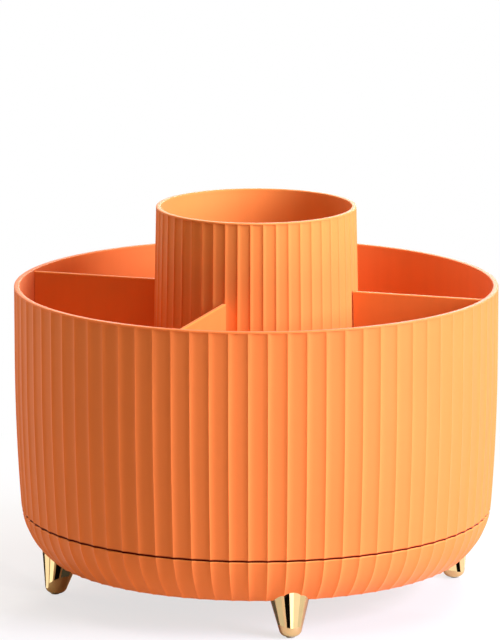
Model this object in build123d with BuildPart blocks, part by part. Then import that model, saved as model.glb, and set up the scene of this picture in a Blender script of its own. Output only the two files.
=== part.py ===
from build123d import *

import os
from math import cos, radians, sin, sqrt, tan

# Rotating makeup organizer: a fluted tub with a tall brush cup in its middle and four compartments
# round it. The tub turns on a footed base, carried by a ring of steel balls and held by a pivot screw.
# Millimetres, +Z up. The origin is on the table under the spin axis, and the front faces -Y.
# A bearing is an angle in degrees from the front, and grows towards the right-hand side (+X).

# Outer form of tub and base
rim_radius = 97.15
tub_depth = 87.6
straight_height = 29.9
side_lean = 4.1
turn_rise = 2.15
bowl_edge_angle = 53.4
flute_count = 80
flute_depth = 0.65
first_ridge_bearing = 2.66
side_sections = 4
bowl_sections = 5

# Walls of the tub
tub_wall = 2.2
tub_floor = 2.2
tub_corner = 5.0
lip_height = 0.8
lip_round = 0.35
seam_gap = 0.5
skirt_drop = 1.25
skirt_wall = 1.5

# Brush cup
cup_depth = 119.4
cup_rim_radius = 40.1
cup_draft = 1.2
cup_wall = 1.9
cup_flute_count = 50
cup_flute_depth = 0.5
cup_first_ridge_bearing = 3.9
spigot_height = 3.0
spigot_wall = 1.6
cup_boss_wall = 1.9
cup_boss_sink = 1.1
cup_boss_roof = 1.5

# Dividers
divider_count = 4
first_divider_bearing = -18.2
divider_thickness = 1.8
divider_drop = 0.6
divider_gap = 0.2
divider_round = 0.5
rail_width = 1.2
rail_height = 2.5
rail_end_gap = 6.0
tab_length = 12.0
tab_inset = 16.8

# Base
foot_height = 15.0
bowl_wall = 2.2
bowl_floor = 2.2
screw_room = 6.4
deck_thickness = 2.4
deck_gap = 0.3
ledge_width = 3.5
upstand_wall = 1.5
upstand_side_gap = 0.6
upstand_top_gap = 1.0
pillar_wall = 2.6
pillar_gap = 7.198

# Ball bearing
ball_diameter = 5.0
ball_count = 16
groove_gap = 0.05
race_width = 16.0
race_web = 2.0
race_gap = 1.6
cage_thickness = 1.0
cage_margin = 1.5
pocket_gap = 0.08
race_rib_wall = 2.0
race_rib_height = 2.0
race_rib_gap = 0.6

# Pivot
shoulder_radius = 4.0
bush_wall = 2.0
bush_flange_radius = 9.0
bush_flange_thickness = 1.0
end_play = 0.2
thread_radius = 2.5
thread_length = 8.0
nut_wall = 1.8
nut_groove = 0.4
boss_wall = 3.4
deck_hub_wall = 3.5
deck_hub_length = 2.5
washer_radius = 7.5
washer_thickness = 0.9
pivot_head_radius = 6.5
pivot_head_height = 2.4
cap_flange_radius = 11.0
cap_flange_thickness = 1.2
cap_plug_wall = 1.2
cap_plug_length = 1.6
access_radius = 9.0

# Feet
foot_count = 4
first_foot_bearing = 9.4
foot_top_radius = 7.7
foot_inset = 4.1
foot_splay = 2.8
foot_tip_radius = 3.85
foot_tip_round = 3.0
pad_radius = 1.8
pad_thickness = 1.4
pad_stand = 0.4

# Screws
shank_radius = 1.4
screw_head_radius = 2.8
screw_head_height = 1.6
screw_head_round = 0.7
slot_width = 0.8
slot_depth = 0.7
screw_point = 1.2
bore_depth_gap = 0.4
foot_screw_length = 8.0
deck_screw_length = 6.5
cup_screw_length = 9.0

# Clearances between pieces
running_gap = 0.05
fit_gap = 0.1

# Heights from the table up
bowl_floor_top = foot_height + bowl_floor
deck_bottom = bowl_floor_top + screw_room
deck_top = deck_bottom + deck_thickness
ball_radius = ball_diameter / 2
groove_radius = ball_radius + groove_gap
ball_centre = deck_top + race_web + groove_radius
lower_race_top = ball_centre - race_gap / 2
upper_race_bottom = ball_centre + race_gap / 2
tub_underside = ball_centre + groove_radius + race_web
floor_top = tub_underside + tub_floor
seam_top = tub_underside - skirt_drop
seam_bottom = seam_top - seam_gap
turn_height = seam_top + turn_rise
rim_top = floor_top + tub_depth
lip_bottom = rim_top - lip_height
belly_height = rim_top - straight_height
divider_top = rim_top - divider_drop
cup_top = floor_top + cup_depth
cup_lip_bottom = cup_top - lip_height

# The side leans in along one wide arc, then turns along a tight one to the underside.
side_arc_radius = (belly_height - turn_height) / sin(radians(side_lean))
turn_arc_radius = (turn_height - foot_height) / (sin(radians(bowl_edge_angle)) - sin(radians(side_lean)))
turn_radius = rim_radius - side_arc_radius * (1 - cos(radians(side_lean)))
turn_centre_radius = turn_radius - turn_arc_radius * cos(radians(side_lean))
turn_centre_height = turn_height + turn_arc_radius * sin(radians(side_lean))


def outer_radius(height):
    """Radius of the flutes' ridges on tub and base at a height."""
    if height >= belly_height:
        return rim_radius
    if height >= turn_height:
        return rim_radius - side_arc_radius + sqrt(side_arc_radius**2 - (belly_height - height) ** 2)
    return turn_centre_radius + sqrt(turn_arc_radius**2 - (turn_centre_height - height) ** 2)


def valley_radius(height):
    """Radius of the bottom of the flutes on tub and base at a height."""
    return outer_radius(height) * (1 - flute_depth / rim_radius)


def cup_outer_radius(height):
    """Radius of the flutes' ridges on the cup, which widens downwards by its draft."""
    return cup_rim_radius + (cup_top - height) * tan(radians(cup_draft))


def cup_inner_radius(height):
    """Radius inside the cup at a height."""
    return cup_outer_radius(height) - cup_wall


def on_circle(radius, bearing):
    """Point at a radius and a bearing from the front."""
    return (radius * sin(radians(bearing)), -radius * cos(radians(bearing)))


def bearings(count, first):
    """Bearings of equal steps round the spin axis."""
    return [first + 360 / count * i for i in range(count)]


def circle_points(count, first, radius):
    """Points of equal steps on a circle about the spin axis."""
    return [on_circle(radius, bearing) for bearing in bearings(count, first)]


def upright_plane(bearing):
    """Upright plane through the spin axis, with its x outwards at a bearing and its y up."""
    x, y = on_circle(1, bearing)
    return Plane(origin=(0, 0, 0), x_dir=(x, y, 0), z_dir=(y, -x, 0))


def fluted_sketch(height, radius, count, depth, first):
    """Closed outline of concave flutes that meet in sharp ridges on a circle."""
    half_step = 180 / count
    with BuildSketch(Plane.XY.offset(height)) as outline:
        with BuildLine():
            for bearing in bearings(count, first):
                ThreePointArc(
                    on_circle(radius, bearing),
                    on_circle(radius - depth, bearing + half_step),
                    on_circle(radius, bearing + 2 * half_step),
                )
        make_face()
    return outline.sketch


def skin_sketch(height):
    """Fluted outline of tub and base at a height."""
    radius = outer_radius(height)
    return fluted_sketch(height, radius, flute_count, radius - valley_radius(height), first_ridge_bearing)


def cup_sketch(height):
    """Fluted outline of the cup at a height."""
    return fluted_sketch(
        height, cup_outer_radius(height), cup_flute_count, cup_flute_depth, cup_first_ridge_bearing
    )


def disc_sketch(radius, height, bore=0.0):
    """Disc about the spin axis at a height, or a ring if it has a bore."""
    with BuildSketch(Plane.XY.offset(height)) as disc:
        Circle(radius)
        if bore > 0:
            Circle(bore, mode=Mode.SUBTRACT)
    return disc.sketch


def dots_sketch(points, radius, height):
    """Equal discs at points on a level plane."""
    with BuildSketch(Plane.XY.offset(height)) as dots:
        with Locations(*points):
            Circle(radius)
    return dots.sketch


def lip_section(inner, outer, bottom, top):
    """Half section of a lip whose two top edges are rounded."""
    with BuildSketch(Plane.XZ) as section:
        with Locations(((inner + outer) / 2, (bottom + top) / 2)):
            Rectangle(outer - inner, top - bottom)
        fillet(section.vertices().group_by(Axis.Y)[-1], lip_round)
    return section.sketch


def room_section(plane, gap, top):
    """Half section of the room in the tub down to its floor, less a gap at the side wall."""
    levels = (belly_height, (belly_height + floor_top) / 2, floor_top)
    upper, middle, lower = [(outer_radius(level) - tub_wall - gap, level) for level in levels]
    with BuildSketch(plane) as room:
        with BuildLine():
            Polyline((0, floor_top), (0, top), (upper[0], top), upper)
            ThreePointArc(upper, middle, lower)
            Line(lower, (0, floor_top))
        make_face()
        fillet(room.vertices().group_by(Axis.Y)[0].sort_by(Axis.X)[-1], tub_corner)
    return room.sketch


def race_section(bottom, top):
    """Half section of a bearing ring with a round groove for the balls in its open face."""
    with BuildSketch(Plane.XZ) as section:
        with Locations((ball_circle_radius, (bottom + top) / 2)):
            Rectangle(race_width, top - bottom)
        with Locations((ball_circle_radius, ball_centre)):
            Circle(groove_radius, mode=Mode.SUBTRACT)
    return section.sketch


def race_ribs_sketch(height):
    """Two rings that hold a race between them, the outer one first."""
    with BuildSketch(Plane.XY.offset(height)) as ribs:
        for inner in (race_outer_radius + running_gap, inner_rib_radius - race_rib_wall):
            Circle(inner + race_rib_wall)
            Circle(inner, mode=Mode.SUBTRACT)
    return ribs.sketch


# Radii that pieces share: screw bosses, bearing outside them, pivot, base, feet and divider tabs
cup_boss_radius = shank_radius + cup_boss_wall
cup_boss_circle = cup_inner_radius(floor_top) - cup_boss_radius + cup_boss_sink
inner_rib_radius = cup_boss_circle + screw_head_radius + race_rib_gap + race_rib_wall
race_inner_radius = inner_rib_radius + running_gap
ball_circle_radius = race_inner_radius + race_width / 2
race_outer_radius = race_inner_radius + race_width
bush_radius = shoulder_radius + bush_wall
nut_radius = thread_radius + nut_wall
spigot_radius = cup_inner_radius(floor_top + spigot_height) - fit_gap
skirt_inner_radius = valley_radius(seam_top) - skirt_wall
seat_radius = valley_radius(deck_bottom) - bowl_wall
ledge_radius = seat_radius - ledge_width
foot_top_centre = outer_radius(foot_height) - foot_inset
foot_tip_centre = foot_top_centre + foot_splay
tab_radius = outer_radius(floor_top) - tub_wall - tab_inset

# Heights of the pivot, from the bush down to the screw's head
bush_top = deck_top + bush_flange_thickness
boss_bottom = bush_top + end_play
nut_top = boss_bottom + thread_length
deck_hub_bottom = deck_bottom - deck_hub_length
washer_top = deck_hub_bottom - end_play / 2
washer_bottom = washer_top - washer_thickness
pivot_head_bottom = washer_bottom - pivot_head_height

# Places of the screws
cup_screw_points = circle_points(divider_count, first_divider_bearing + 180 / divider_count, cup_boss_circle)
race_rib_radius = race_outer_radius + running_gap + race_rib_wall
pillar_circle = race_rib_radius + screw_head_radius + pillar_gap
deck_screw_points = circle_points(foot_count, first_foot_bearing + 180 / foot_count, pillar_circle)
foot_screw_points = circle_points(foot_count, first_foot_bearing, foot_top_centre)
foot_tip_points = circle_points(foot_count, first_foot_bearing, foot_tip_centre)

# Tub: fluted wall on a skirt, floor, and under the floor the race's ribs and the pivot's boss
side_step = (belly_height - turn_height) / side_sections
side_heights = [turn_height + side_step * i for i in range(side_sections + 1)]
with BuildPart() as tub:
    loft([skin_sketch(seam_top), skin_sketch(turn_height)], ruled=True)
    loft([skin_sketch(height) for height in side_heights])
    extrude(skin_sketch(belly_height), amount=lip_bottom - belly_height)
    revolve(room_section(Plane.XZ, 0, rim_top), axis=Axis.Z, mode=Mode.SUBTRACT)
    revolve(lip_section(rim_radius - tub_wall, rim_radius, lip_bottom, rim_top), axis=Axis.Z)
    extrude(disc_sketch(skirt_inner_radius, seam_top), amount=skirt_drop, mode=Mode.SUBTRACT)
    extrude(race_ribs_sketch(tub_underside), amount=-race_rib_height)
    extrude(disc_sketch(nut_radius + boss_wall, boss_bottom), amount=tub_underside - boss_bottom)
    extrude(disc_sketch(nut_radius, boss_bottom), amount=thread_length, mode=Mode.SUBTRACT)
    # ring that centres the cup, open round the cup's screw bosses
    with BuildSketch(Plane.XY.offset(floor_top)):
        Circle(spigot_radius)
        Circle(spigot_radius - spigot_wall, mode=Mode.SUBTRACT)
        with Locations(*cup_screw_points):
            Circle(cup_boss_radius + fit_gap, mode=Mode.SUBTRACT)
    extrude(amount=spigot_height)
    # rails beside each divider's lower edge
    rail_start = cup_outer_radius(floor_top) + rail_end_gap
    rail_end = outer_radius(floor_top) - tub_wall - rail_end_gap
    rail_side = divider_thickness / 2 + fit_gap + rail_width / 2
    with BuildSketch(Plane.XY.offset(floor_top)):
        for bearing in bearings(divider_count, first_divider_bearing):
            with Locations(Location((0, 0, 0), (0, 0, bearing - 90))):
                with Locations(*[((rail_start + rail_end) / 2, side * rail_side) for side in (-1, 1)]):
                    Rectangle(rail_end - rail_start, rail_width)
    extrude(amount=rail_height)
    # slots for the dividers' tabs
    with BuildSketch(Plane.XY.offset(tub_underside)):
        for bearing in bearings(divider_count, first_divider_bearing):
            with Locations(Location((0, 0, 0), (0, 0, bearing - 90))):
                with Locations((tab_radius, 0)):
                    Rectangle(tab_length + 2 * fit_gap, divider_thickness + 2 * fit_gap)
    extrude(amount=tub_floor, mode=Mode.SUBTRACT)
    cup_screw_holes = dots_sketch(cup_screw_points, shank_radius + fit_gap, tub_underside)
    extrude(cup_screw_holes, amount=tub_floor, mode=Mode.SUBTRACT)
tub.part.label = "tub"

# Brush cup: open fluted sleeve with screw bosses at its foot
with BuildPart() as brush_cup:
    loft([cup_sketch(floor_top), cup_sketch(cup_lip_bottom)], ruled=True)
    with BuildSketch(Plane.XZ):
        with BuildLine():
            Polyline(
                (0, floor_top),
                (cup_inner_radius(floor_top), floor_top),
                (cup_inner_radius(cup_lip_bottom), cup_lip_bottom),
                (0, cup_lip_bottom),
                close=True,
            )
        make_face()
    revolve(axis=Axis.Z, mode=Mode.SUBTRACT)
    lip_inner_radius = cup_inner_radius(cup_lip_bottom)
    lip_outer_radius = cup_outer_radius(cup_lip_bottom)
    revolve(lip_section(lip_inner_radius, lip_outer_radius, cup_lip_bottom, cup_top), axis=Axis.Z)
    cup_bore_depth = cup_screw_length - tub_floor + bore_depth_gap
    extrude(dots_sketch(cup_screw_points, cup_boss_radius, floor_top), amount=cup_bore_depth + cup_boss_roof)
    cup_bores = dots_sketch(cup_screw_points, shank_radius + running_gap, floor_top)
    extrude(cup_bores, amount=cup_bore_depth, mode=Mode.SUBTRACT)
brush_cup.part.label = "brush_cup"

pieces = [tub, brush_cup]
quarters = ("front", "right", "rear", "left")

# Dividers: upright plates between cup and wall, each with a tab through the tub's floor
for quarter, bearing in zip(quarters, bearings(divider_count, first_divider_bearing)):
    plate_plane = upright_plane(bearing)
    with BuildPart() as divider:
        with BuildSketch(plate_plane):
            add(room_section(Plane.XY, divider_gap, divider_top))
            with BuildLine():
                Polyline(
                    (0, floor_top),
                    (cup_outer_radius(floor_top) + divider_gap, floor_top),
                    (cup_outer_radius(divider_top) + divider_gap, divider_top),
                    (0, divider_top),
                    close=True,
                )
            make_face(mode=Mode.SUBTRACT)
        extrude(amount=divider_thickness / 2, both=True)
        top_edges = divider.faces().sort_by(Axis.Z)[-1].edges().sort_by(SortBy.LENGTH)[-2:]
        fillet(top_edges, divider_round)
        with BuildSketch(plate_plane):
            with Locations((tab_radius, (tub_underside + floor_top) / 2)):
                Rectangle(tab_length, tub_floor)
        extrude(amount=divider_thickness / 2, both=True)
    divider.part.label = quarter + "_divider"
    pieces.append(divider)

# Base bowl: fluted shell with a ledge for the deck, pillars for its screws, and an upstand inside the seam
bowl_step = (seam_bottom - foot_height) / bowl_sections
bowl_heights = [foot_height + bowl_step * i for i in range(bowl_sections + 1)]
upstand_radius = skirt_inner_radius - upstand_side_gap
upstand_inner_radius = upstand_radius - upstand_wall
with BuildPart() as bowl_blank:
    loft([skin_sketch(height) for height in bowl_heights])

with BuildPart() as base_bowl:
    add(bowl_blank.part)
    with BuildSketch(Plane.XZ):
        with BuildLine():
            Polyline(
                (0, bowl_floor_top),
                (valley_radius(bowl_floor_top) - bowl_wall, bowl_floor_top),
                (ledge_radius, bowl_floor_top + screw_room / 2),
                (ledge_radius, deck_bottom),
                (seat_radius, deck_bottom),
                (seat_radius, deck_top + deck_gap),
                (upstand_inner_radius, deck_top + upstand_inner_radius - seat_radius),
                (upstand_inner_radius, seam_bottom),
                (0, seam_bottom),
                close=True,
            )
        make_face()
    revolve(axis=Axis.Z, mode=Mode.SUBTRACT)
    upstand_height = tub_underside - upstand_top_gap - seam_bottom
    extrude(disc_sketch(upstand_radius, seam_bottom, upstand_inner_radius), amount=upstand_height)
    extrude(dots_sketch(deck_screw_points, shank_radius + pillar_wall, bowl_floor_top), amount=screw_room)
    pillar_bores = dots_sketch(deck_screw_points, shank_radius + running_gap, bowl_floor_top)
    extrude(pillar_bores, amount=screw_room, mode=Mode.SUBTRACT)
    foot_screw_holes = dots_sketch(foot_screw_points, shank_radius + fit_gap, foot_height)
    extrude(foot_screw_holes, amount=bowl_floor, mode=Mode.SUBTRACT)
    extrude(disc_sketch(access_radius, foot_height), amount=bowl_floor, mode=Mode.SUBTRACT)
    cap_recess = disc_sketch(cap_flange_radius + fit_gap, foot_height)
    extrude(cap_recess, amount=cap_flange_thickness, mode=Mode.SUBTRACT)
base_bowl.part.label = "base_bowl"

# Base deck: plate that closes the bowl, holds the lower race between two ribs, and has the pivot's hub
with BuildPart() as base_deck:
    extrude(disc_sketch(seat_radius - deck_gap, deck_bottom), amount=deck_thickness)
    extrude(race_ribs_sketch(deck_top), amount=race_rib_height)
    extrude(disc_sketch(bush_radius + deck_hub_wall, deck_hub_bottom), amount=deck_hub_length)
    hub_bore = disc_sketch(bush_radius, deck_hub_bottom)
    extrude(hub_bore, amount=deck_top - deck_hub_bottom, mode=Mode.SUBTRACT)
    deck_screw_holes = dots_sketch(deck_screw_points, shank_radius + fit_gap, deck_bottom)
    extrude(deck_screw_holes, amount=deck_thickness, mode=Mode.SUBTRACT)
base_deck.part.label = "base_deck"

# Ball bearing: two races, the cage between them, and the balls in its pockets
with BuildPart() as lower_race:
    revolve(race_section(deck_top, lower_race_top), axis=Axis.Z)
lower_race.part.label = "lower_race"

with BuildPart() as upper_race:
    revolve(race_section(upper_race_bottom, tub_underside), axis=Axis.Z)
upper_race.part.label = "upper_race"

ball_points = circle_points(ball_count, 0, ball_circle_radius)
cage_bottom = ball_centre - cage_thickness / 2
with BuildPart() as ball_cage:
    cage_ring = disc_sketch(race_outer_radius - cage_margin, cage_bottom, race_inner_radius + cage_margin)
    extrude(cage_ring, amount=cage_thickness)
    cage_pockets = dots_sketch(ball_points, ball_radius + pocket_gap, cage_bottom)
    extrude(cage_pockets, amount=cage_thickness, mode=Mode.SUBTRACT)
ball_cage.part.label = "ball_cage"

with BuildPart() as bearing_balls:
    with Locations(*[(x, y, ball_centre) for x, y in ball_points]):
        Sphere(ball_radius)
bearing_balls.part.label = "bearing_balls"

# Pivot: flanged bush in the deck's hub, shoulder screw up through it, washer under it, nut in the tub's boss
with BuildPart() as pivot_bush:
    extrude(disc_sketch(bush_flange_radius, deck_top), amount=bush_flange_thickness)
    extrude(disc_sketch(bush_radius - running_gap / 2, deck_hub_bottom), amount=deck_top - deck_hub_bottom)
    bush_bore = disc_sketch(shoulder_radius + running_gap, deck_hub_bottom)
    extrude(bush_bore, amount=bush_top - deck_hub_bottom, mode=Mode.SUBTRACT)
pivot_bush.part.label = "pivot_bush"

with BuildPart() as pivot_screw:
    extrude(disc_sketch(pivot_head_radius, pivot_head_bottom), amount=pivot_head_height)
    chamfer(pivot_screw.edges().group_by(Axis.Z)[0], slot_depth / 2)
    extrude(disc_sketch(shoulder_radius, washer_bottom), amount=boss_bottom - washer_bottom)
    extrude(disc_sketch(thread_radius - running_gap, boss_bottom), amount=thread_length - end_play)
    chamfer(pivot_screw.edges().group_by(Axis.Z)[-1], slot_depth / 2)
    with BuildSketch(Plane.XY.offset(pivot_head_bottom)):
        Rectangle(pivot_head_radius, slot_width)
        Rectangle(slot_width, pivot_head_radius)
    extrude(amount=2 * slot_depth, mode=Mode.SUBTRACT)
pivot_screw.part.label = "pivot_screw"

with BuildPart() as pivot_washer:
    washer_face = disc_sketch(washer_radius, washer_bottom, shoulder_radius + running_gap)
    extrude(washer_face, amount=washer_thickness)
pivot_washer.part.label = "pivot_washer"

with BuildPart() as pivot_nut:
    extrude(disc_sketch(nut_radius - running_gap / 2, boss_bottom, thread_radius), amount=thread_length)
    # two grooves that lock the nut in the plastic
    groove_width = thread_length / 8
    for groove_bottom in (boss_bottom + 2 * groove_width, boss_bottom + 5 * groove_width):
        groove_ring = disc_sketch(nut_radius, groove_bottom, nut_radius - nut_groove)
        extrude(groove_ring, amount=groove_width, mode=Mode.SUBTRACT)
pivot_nut.part.label = "pivot_nut"

with BuildPart() as pivot_cap:
    extrude(disc_sketch(cap_flange_radius, foot_height), amount=cap_flange_thickness)
    chamfer(pivot_cap.edges().group_by(Axis.Z)[0], cap_flange_thickness / 4)
    plug_radius = access_radius - fit_gap
    plug_ring = disc_sketch(plug_radius, foot_height + cap_flange_thickness, plug_radius - cap_plug_wall)
    extrude(plug_ring, amount=cap_plug_length)
pivot_cap.part.label = "pivot_cap"

pieces += [
    base_bowl,
    base_deck,
    lower_race,
    upper_race,
    ball_cage,
    bearing_balls,
    pivot_bush,
    pivot_screw,
    pivot_washer,
    pivot_nut,
    pivot_cap,
]

# Feet: oblique cones that lean outwards, cut to the bowl's surface, with a socket for the pad in the tip.
# The cone runs on past the underside, half way up the bowl, so that its end is inside the bowl.
cone_end_height = (foot_height + seam_bottom) / 2
cone_share = (cone_end_height - pad_stand) / (foot_height - pad_stand)
cone_end_radius = foot_tip_radius + (foot_top_radius - foot_tip_radius) * cone_share
cone_end_centre = foot_tip_centre + (foot_top_centre - foot_tip_centre) * cone_share
foot_bore_depth = foot_screw_length - bowl_floor + bore_depth_gap
for quarter, bearing in zip(quarters, bearings(foot_count, first_foot_bearing)):
    tip_point = on_circle(foot_tip_centre, bearing)
    with BuildPart() as foot:
        tip_face = dots_sketch([tip_point], foot_tip_radius, pad_stand)
        end_face = dots_sketch([on_circle(cone_end_centre, bearing)], cone_end_radius, cone_end_height)
        loft([tip_face, end_face])
        fillet(foot.edges().group_by(Axis.Z)[0], foot_tip_round)
        add(bowl_blank.part, mode=Mode.SUBTRACT)
        pad_socket = dots_sketch([tip_point], pad_radius + running_gap, pad_stand)
        extrude(pad_socket, amount=pad_thickness - pad_stand, mode=Mode.SUBTRACT)
        top_point = on_circle(foot_top_centre, bearing)
        screw_bore = dots_sketch([top_point], shank_radius + running_gap, foot_height)
        extrude(screw_bore, amount=-foot_bore_depth, mode=Mode.SUBTRACT)
    foot.part.label = quarter + "_foot"
    pieces.append(foot)

with BuildPart() as foot_pads:
    extrude(dots_sketch(foot_tip_points, pad_radius, 0), amount=pad_thickness)
foot_pads.part.label = "foot_pads"
pieces.append(foot_pads)

# Screws: cross-head tapping screws, in groups of one length, with their heads' seats on one plane
screw_groups = [
    ("foot_screws", foot_screw_length, foot_screw_points, bowl_floor_top, 1),
    ("deck_screws", deck_screw_length, deck_screw_points, deck_top, 1),
    ("cup_screws", cup_screw_length, cup_screw_points, tub_underside, -1),
]
for name, length, points, seat_height, head_side in screw_groups:
    with BuildPart() as screws:
        extrude(dots_sketch(points, screw_head_radius, seat_height), amount=head_side * screw_head_height)
        head_edges = screws.edges().group_by(Axis.Z)
        fillet(head_edges[-1] if head_side > 0 else head_edges[0], screw_head_round)
        with BuildSketch(Plane.XY.offset(seat_height + head_side * screw_head_height)):
            with Locations(*points):
                Rectangle(screw_head_radius, slot_width)
                Rectangle(slot_width, screw_head_radius)
        extrude(amount=-head_side * slot_depth, mode=Mode.SUBTRACT)
        shank_length = length - screw_point
        extrude(dots_sketch(points, shank_radius, seat_height), amount=-head_side * shank_length)
        shank_end = dots_sketch(points, shank_radius, seat_height - head_side * shank_length)
        extrude(shank_end, amount=-head_side * screw_point, taper=40)
    screws.part.label = name
    pieces.append(screws)

os.makedirs("parts", exist_ok=True)
for piece in pieces:
    export_step(piece.part, "parts/" + piece.part.label + ".step")
    print(piece.part.label, len(piece.part.solids()), "solid(s),", round(piece.part.volume), "mm3")
print("rim", 2 * rim_radius, "mm wide and", rim_top, "mm high, cup", cup_top, "mm high")
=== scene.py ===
"""Looks of a rotating makeup organizer: fluted tub, brush cup, dividers, footed base and bearing.

Sizes are millimetres, and MM turns them into the frame's metres. Only the lamps and the studio are given
in metres. A bearing is an angle in degrees from the front (-Y) and grows towards the right-hand side (+X).
"""

import logging
from cmath import phase, rect
from dataclasses import dataclass
from enum import Enum
from functools import cache, partialmethod
from itertools import product
from math import atan, cos, hypot, pi, radians, sin, sqrt, tan

import bpy
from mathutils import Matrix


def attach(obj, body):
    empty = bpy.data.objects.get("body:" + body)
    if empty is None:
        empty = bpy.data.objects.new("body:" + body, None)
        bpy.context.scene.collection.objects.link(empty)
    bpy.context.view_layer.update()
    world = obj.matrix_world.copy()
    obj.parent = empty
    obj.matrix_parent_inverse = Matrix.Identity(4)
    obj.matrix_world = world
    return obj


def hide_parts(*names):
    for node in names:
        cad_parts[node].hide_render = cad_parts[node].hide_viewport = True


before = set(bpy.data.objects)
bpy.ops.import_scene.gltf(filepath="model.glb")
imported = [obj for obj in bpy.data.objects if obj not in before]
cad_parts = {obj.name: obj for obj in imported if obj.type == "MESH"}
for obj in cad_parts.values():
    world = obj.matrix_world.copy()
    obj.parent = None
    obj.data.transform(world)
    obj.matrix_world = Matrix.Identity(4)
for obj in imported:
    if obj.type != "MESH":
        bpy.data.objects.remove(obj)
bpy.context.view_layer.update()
MM = 0.001
FULL_TURN = 2 * pi
QUARTERS = ("front", "right", "rear", "left")
QUARTER_TURN = 90.0
LOG = logging.getLogger("organizer")

Socket = bpy.types.NodeSocket
Piece = bpy.types.Object
Number = "Value | float"
Colour = "tuple | Socket"
Feed = "Value | Socket | float | int | str | tuple | bpy.types.Material"


class Value:
    """Number socket of a node tree that takes part in Python arithmetic."""

    def __init__(self, graph: "Graph", socket: Socket) -> None:
        """Wraps an output socket of a graph."""
        self.graph = graph
        self.socket = socket

    def then(self, operation: str, *others: Number) -> "Value":
        """Math node on this value, or on this one and another."""
        return self.graph.math(operation, self, *others)

    def after(self, operation: str, other: Number) -> "Value":
        """Math node on another value and this one."""
        return self.graph.math(operation, other, self)

    __add__ = __radd__ = partialmethod(then, "ADD")
    __sub__ = partialmethod(then, "SUBTRACT")
    __rsub__ = partialmethod(after, "SUBTRACT")
    __mul__ = __rmul__ = partialmethod(then, "MULTIPLY")
    __truediv__ = partialmethod(then, "DIVIDE")
    __rtruediv__ = partialmethod(after, "DIVIDE")
    __pow__ = partialmethod(then, "POWER")
    __rpow__ = partialmethod(after, "POWER")
    floor = partialmethod(then, "FLOOR")
    sin = partialmethod(then, "SINE")
    cos = partialmethod(then, "COSINE")

    def swing(self, width: float) -> "Value":
        """Value from 0 to 1 as a change of this width round zero."""
        return (self - 0.5) * width

    def ramp(self, low: float, high: float) -> "Value":
        """Smooth step from 0 at the low value to 1 at the high one."""
        feeds = {"Value": self, "From Min": low, "From Max": high}
        return self.graph.value("ShaderNodeMapRange", "Result", feeds, interpolation_type="SMOOTHSTEP")


class Graph:
    """Node tree that is written as Python expressions."""

    def __init__(self, tree: bpy.types.NodeTree) -> None:
        """Wraps a shader, world or geometry tree."""
        self.tree = tree

    def node(self, kind: str, feeds: dict | None = None, **settings: object) -> bpy.types.Node:
        """Adds a node.

        Args:
            kind: Blender's name of the node's type.
            feeds: Values or links of its input sockets, by name or number.
            settings: Properties that are set before the sockets.

        Returns:
            The new node.
        """
        node = self.tree.nodes.new(kind)
        for name, value in settings.items():
            setattr(node, name, value)
        for key, value in (feeds or {}).items():
            self.feed(node.inputs[key], value)
        return node

    def feed(self, socket: Socket, value: Feed) -> None:
        """Links a socket to a source, or sets its own value.

        Args:
            socket: Input socket.
            value: Wrapped value, output socket, or plain value.
        """
        source = value.socket if isinstance(value, Value) else value
        if isinstance(source, Socket):
            self.tree.links.new(source, socket)
        else:
            socket.default_value = source

    def value(self, kind: str, output: str, feeds: dict | None = None, **settings: object) -> Value:
        """Adds a node and wraps one of its outputs."""
        return Value(self, self.node(kind, feeds, **settings).outputs[output])

    def math(self, operation: str, *operands: Number) -> Value:
        """Adds a Math node for one operand or two."""
        return self.value("ShaderNodeMath", "Value", dict(enumerate(operands)), operation=operation)

    def blend(self, share: Value, low: Colour, high: Colour) -> Socket:
        """Mixes two colours by the share of the second. Inputs 6, 7 and output 2 are its colours."""
        return self.node("ShaderNodeMix", {0: share, 6: low, 7: high}, data_type="RGBA").outputs[2]

    def attribute(self, name: str) -> Value:
        """Number attribute of the shaded surface."""
        return self.value("ShaderNodeAttribute", "Fac", attribute_name=name)

    def ray(self, kind: str) -> Value:
        """1 for rays of one kind, such as Camera, and 0 for all others."""
        return self.value("ShaderNodeLightPath", f"Is {kind} Ray")

    def looked_at(self) -> Value:
        """1 for what camera, gloss or glass looks at, and 0 for soft light."""
        return self.math("MINIMUM", self.ray("Camera") + self.ray("Glossy") + self.ray("Transmission"), 1.0)


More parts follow.
